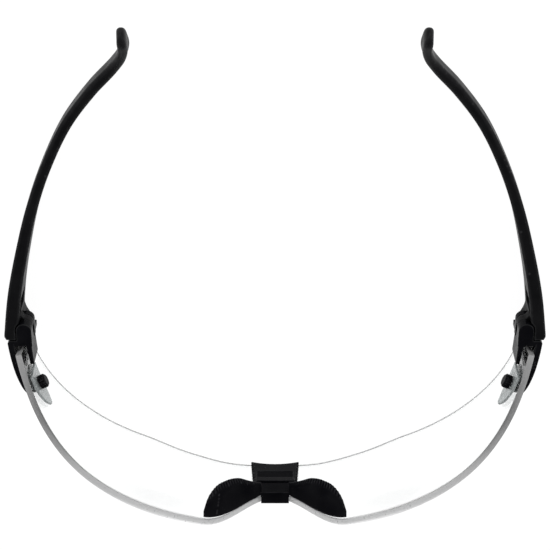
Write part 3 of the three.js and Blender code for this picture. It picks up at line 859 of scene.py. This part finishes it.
def clear_rim():
    """The lens's ground rim: the same plastic, satin and a little grey, with painted shade that makes it
    darker and less clear towards the hinges, and painted light that makes the brow paler and clearer.
    """
    shader = Shader("ground_rim_painted_shade")
    shader.set(IOR=1.5)
    backwards = shader.along("Y", cad_low.y, HINGE_Y)
    # Painted light: the brow rim, the low band by the table, is made paler and clearer than the rest of the
    # rim.
    brow = shader.ramp(shader.along("Z", 0, BROW_RIM_TOP * MM), 1.0, 0.0, (0.75, 0.88))
    # Painted shade: the rim's grey and its clearness are set by where along the lens it lies, not by the
    # plastic.
    painted_shade = shader.greys(backwards, RIM_PAINTED_SHADES)
    pale = shader.ramp(shader.noise(4), (0.93, 0.94, 0.94), (0.97, 0.97, 0.97))
    shader.wire("Base Color", shader.mix(brow, painted_shade, pale))
    clearness = shader.greys(backwards, RIM_CLEARNESS)
    brow_painted_clearness = shader.ramp(shader.noise(12), 0.85, 1.0)
    shader.wire("Transmission Weight", shader.mix(brow, clearness, brow_painted_clearness))
    shader.wire("Roughness", shader.ramp(shader.noise(0.6), 0.25, 0.42))
    shader.bump(shader.noise(0.25, 3), 0.25, SKIN_DEPTH)
    return shader.material


def smoky():
    """Grey translucent moulding."""
    shader = Shader("smoky_plastic")
    shader.set(IOR=1.49, Transmission_Weight=0.5)
    shader.wire("Base Color", shader.ramp(shader.noise(2), (0.42, 0.45, 0.45), (0.54, 0.57, 0.57)))
    shader.wire("Roughness", shader.ramp(shader.noise(1), 0.16, 0.3))
    shader.bump(shader.noise(0.3, 2), 0.15, SKIN_DEPTH)
    return shader.material


def turned_metal(name, dark, light):
    """Turned metal, with fine rings of tool marks and dull patches."""
    shader = Shader(name)
    shader.set(Metallic=1.0)
    shader.wire("Base Color", shader.ramp(shader.noise(0.5), dark, light))
    shader.wire("Roughness", shader.ramp(shader.noise(0.3), 0.22, 0.42))
    marks = shader.nodes.new("ShaderNodeTexWave")
    marks.inputs["Scale"].default_value = 4 / MM
    marks.inputs["Distortion"].default_value = 1.5
    shader.links.new(shader.place, marks.inputs["Vector"])
    shader.bump(marks.outputs["Fac"], 0.2, SKIN_DEPTH)
    return shader.material


satin_black = moulded_black(
    "satin_black", specular=0.04, dark=(0.003, 0.003, 0.0035), light=(0.006, 0.006, 0.0065),
    edge=(0.02, 0.02, 0.021), smooth=0.34, rough=0.48, grain_mm=0.18, grain_strength=0.12,
)
gloss_black = moulded_black(
    "gloss_black", specular=0.02, dark=(0.002, 0.002, 0.003), light=(0.005, 0.005, 0.006),
    edge=(0.02, 0.02, 0.021), smooth=0.2, rough=0.32, grain_mm=0.5, grain_strength=0.05,
)
soft_black = moulded_black(
    "soft_black", specular=0.01, dark=(0.002, 0.002, 0.003), light=(0.006, 0.006, 0.007),
    edge=(0.02, 0.02, 0.022), smooth=0.5, rough=0.68, grain_mm=0.12, grain_strength=0.25,
)
smoky_plastic = smoky()
steel = turned_metal("steel", (0.42, 0.42, 0.43), (0.62, 0.62, 0.63))
brass = turned_metal("brass", (0.5, 0.37, 0.16), (0.72, 0.56, 0.28))

# ---------------------------------------------------------------- the object

install(lens_shape(), "lens", "front", "clear_plastic", [clear_face(), clear_rim()])

bracket = mould(bracket_shape(), voxel=0.09, passes=3)
install(bracket, "nose_bracket", "front", "gloss_black", [gloss_black])

block = mould(block_shape(), voxel=0.09, passes=3)
install(block, "nose_block", "front", "soft_black", [soft_black])

temple = mould(temple_shape(), voxel=0.2, passes=6)
install_pair(temple, "temple", "{side}_temple", "temple_black", [satin_black])

end_piece = mould(end_piece_shape(), voxel=0.11, passes=8)
install_pair(end_piece, "end_piece", "front", "gloss_black", [gloss_black])

plate = mould(plate_shape(), voxel=0.08, passes=3)
install_pair(plate, "backing_plate", "front", "smoky_plastic", [smoky_plastic])

install_pair(wing_shape(), "nose_wing", "front", "soft_black", [soft_black])

for name, slot, material in (
    ("hinge_screw", "steel", steel),
    ("hinge_insert", "brass", brass),
    ("lens_screw", "steel", steel),
    ("lens_bush", "soft_black", soft_black),
    ("lens_nut", "gloss_black", gloss_black),
):
    fitting = mould(from_node(f"right_{name}"), voxel=0.06, passes=3)
    install_pair(fitting, name, "front", slot, [material])

# ---------------------------------------------------------------- floor, light and camera


def light_table():
    """A pale floor that glows, as a light table does, so that clear plastic shows only its edges."""
    floor = solid([(-1, -1, 0), (1, -1, 0), (1, 1, 0), (-1, 1, 0)], [(0, 1, 2, 3)])
    floor.name = "floor"
    floor.scale = (3, 3, 1)
    floor.location.z = -FLOOR_DROP * MM
    material = bpy.data.materials.new("light_table")
    material.use_nodes = True
    surface = material.node_tree.nodes["Principled BSDF"]
    surface.inputs["Base Color"].default_value = (0.1, 0.1, 0.1, 1)
    surface.inputs["Roughness"].default_value = 0.6
    surface.inputs["Specular IOR Level"].default_value = 0.1
    surface.inputs["Emission Color"].default_value = (1, 1, 1, 1)
    surface.inputs["Emission Strength"].default_value = 0.95
    floor.data.materials.append(material)


# Colour of the studio's air from the horizon, 0, to straight up, 1.
SKY = [(0, (1, 1, 1)), (0.2, (0.85, 0.85, 0.855)), (0.6, (0.7, 0.7, 0.705))]


def studio_air():
    """Soft light that is bright near the horizon and dim overhead."""
    world = bpy.data.worlds.new("studio")
    bpy.context.scene.world = world
    world.use_nodes = True
    nodes, links = world.node_tree.nodes, world.node_tree.links
    direction = nodes.new("ShaderNodeTexCoord").outputs["Generated"]
    split = nodes.new("ShaderNodeSeparateXYZ")
    ramp = nodes.new("ShaderNodeValToRGB")
    fill_ramp(ramp, SKY)
    links.new(direction, split.inputs[0])
    links.new(split.outputs["Z"], ramp.inputs["Fac"])
    links.new(ramp.outputs["Color"], nodes["Background"].inputs["Color"])


def softbox(name, place, size, power):
    lamp = bpy.data.lights.new(name, "AREA")
    lamp.shape = "RECTANGLE"
    lamp.size, lamp.size_y = size
    lamp.energy = power
    obj = bpy.data.objects.new(name, lamp)
    obj.location = place
    obj.rotation_euler = (-Vector(place)).to_track_quat("-Z", "Y").to_euler()
    bpy.context.scene.collection.objects.link(obj)


def camera():
    """Above and behind the ear tips, looking down on the lens's inner face."""
    tilt = math.radians(28)
    distance = 0.48
    aim = Vector((0, HINGE_Y + 10 * MM, 0))
    data = bpy.data.cameras.new("camera")
    data.lens = 112.3
    data.sensor_width = 36
    data.clip_start = 0.01
    obj = bpy.data.objects.new("camera", data)
    obj.location = aim + distance * Vector((0, math.sin(tilt), math.cos(tilt)))
    obj.rotation_euler = (-tilt, 0, 0)
    bpy.context.scene.collection.objects.link(obj)
    bpy.context.scene.camera = obj


camera()
light_table()
studio_air()
softbox("left_softbox", place=(-0.9, 0.35, 0.7), size=(0.7, 0.5), power=3)
softbox("right_softbox", place=(0.9, 0.35, 0.7), size=(0.7, 0.5), power=3)
bpy.context.scene.view_settings.view_transform = "Standard"
